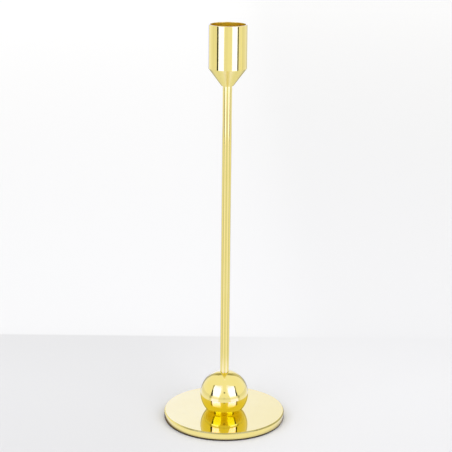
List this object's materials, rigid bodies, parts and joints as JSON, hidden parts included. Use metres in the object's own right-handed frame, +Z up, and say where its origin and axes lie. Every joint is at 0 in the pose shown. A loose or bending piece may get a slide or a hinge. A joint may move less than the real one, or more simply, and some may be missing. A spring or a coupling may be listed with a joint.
{
  "type": "candlestick",
  "caption": "Slim polished-brass candlestick: a round base disc and ball carry a thin tube stem with a turned cup on top that holds one taper candle upright.",
  "frame": {"origin": "on the stem's axis, at the underside of the felt pad, which is the surface that the candlestick stands on", "axes": "+Z up along the stem, towards the candle socket; the part is turned about Z, so X and Y are interchangeable"},
  "size_m": [0.0804, 0.0804, 0.2645],
  "materials": {
    "polished_brass": "mirror polished, clear lacquered",
    "zinc_steel": "bright zinc plated",
    "spring_steel": "dark phosphated",
    "felt": "dense pressed wool felt, matte"
  },
  "bodies": {
    "root": {"felt_pad": "felt", "base_disc": "polished_brass", "ball": "polished_brass", "stem_tube": "polished_brass", "candle_cup": "polished_brass", "tie_rod": "zinc_steel", "flat_washer": "zinc_steel", "lock_washer": "spring_steel", "base_nut": "zinc_steel"}
  },
  "joints": []
}
